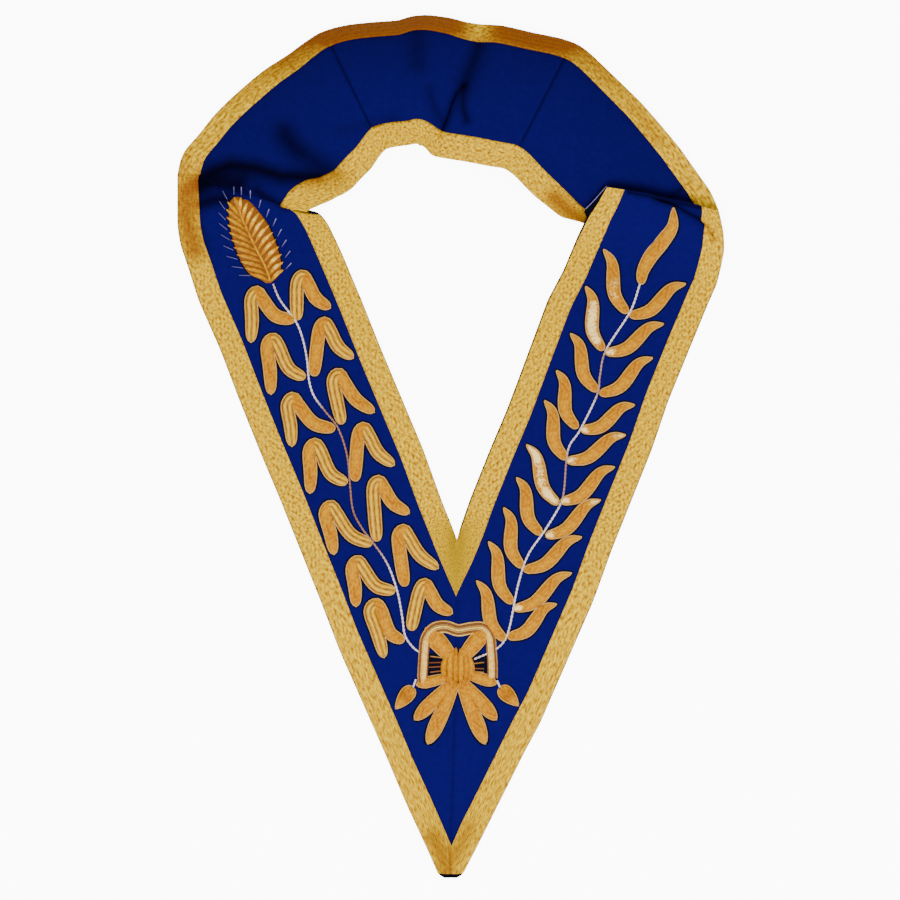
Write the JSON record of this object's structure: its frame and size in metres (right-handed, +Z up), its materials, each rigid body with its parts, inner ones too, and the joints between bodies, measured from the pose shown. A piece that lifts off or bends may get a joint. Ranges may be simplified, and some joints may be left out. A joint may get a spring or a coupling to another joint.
{
  "type": "masonic collar",
  "caption": "Embroidered ceremonial neck collar: a V-shaped loop of wide blue ribbon edged in gold braid, lying flat, with a wheat ear, a laurel spray and a bow.",
  "frame": {"origin": "middle of the collar's outline, on the surface that it lies on", "axes": "+Y from the blunt front point to the back of the neck, +X to the picture's right, +Z up out of the embroidered face"},
  "size_m": [0.376, 0.5938, 0.0297],
  "materials": {
    "cloth": "royal blue ribbed silk ribbon",
    "lining": "near-black navy lining cloth",
    "gold_braid": "woven gilt wire lace",
    "gold_thread": "matte gilt wire embroidery over padding",
    "bright_purl": "polished gilt wire coil",
    "silver_purl": "pale polished wire coil"
  },
  "bodies": {
    "root": {"bow_knot": "gold_thread", "bow_strap": "bright_purl", "bow_tails_left": "gold_thread", "bow_tails_right": "gold_thread", "bud_left": "gold_thread", "bud_right": "gold_thread", "folded_leaf_left_1": "gold_thread", "folded_leaf_left_2": "gold_thread", "folded_leaf_left_3": "gold_thread", "folded_leaf_left_4": "gold_thread", "folded_leaf_left_5": "gold_thread", "folded_leaf_left_6": "gold_thread", "folded_leaf_left_7": "gold_thread", "folded_leaf_right_1": "gold_thread", "folded_leaf_right_2": "gold_thread", "folded_leaf_right_3": "gold_thread", "folded_leaf_right_4": "gold_thread", "folded_leaf_right_5": "gold_thread", "folded_leaf_right_6": "gold_thread", "folded_leaf_right_7": "gold_thread", "laurel_leaf_left_1": "gold_thread", "laurel_leaf_left_10": "gold_thread", "laurel_leaf_left_2": "gold_thread", "laurel_leaf_left_3": "gold_thread", "laurel_leaf_left_4": "gold_thread", "laurel_leaf_left_5": "gold_thread", "laurel_leaf_left_6": "gold_thread", "laurel_leaf_left_7": "gold_thread", "laurel_leaf_left_8": "gold_thread", "laurel_leaf_left_9": "gold_thread", "laurel_leaf_right_1": "gold_thread", "laurel_leaf_right_10": "gold_thread", "laurel_leaf_right_2": "gold_thread", "laurel_leaf_right_3": "gold_thread", "laurel_leaf_right_4": "gold_thread", "laurel_leaf_right_5": "gold_thread", "laurel_leaf_right_6": "gold_thread", "laurel_leaf_right_7": "gold_thread", "laurel_leaf_right_8": "gold_thread", "laurel_leaf_right_9": "gold_thread", "laurel_leaf_top": "gold_thread", "laurel_stem": "silver_purl", "left_arm_cloth": "cloth", "left_arm_inner_braid": "gold_braid", "left_arm_lining": "lining", "left_arm_outer_braid": "gold_braid", "neck_back_cloth": "cloth", "neck_inner_braid": "gold_braid", "neck_left_cloth": "cloth", "neck_left_lining": "lining", "neck_outer_braid": "gold_braid", "neck_right_cloth": "cloth", "neck_right_lining": "lining", "right_arm_cloth": "cloth", "right_arm_inner_braid": "gold_braid", "right_arm_lining": "lining", "right_arm_outer_braid": "gold_braid", "right_shoulder_pleat": "lining", "wheat_ear": "gold_thread", "wheat_stem": "silver_purl"}
  },
  "joints": []
}
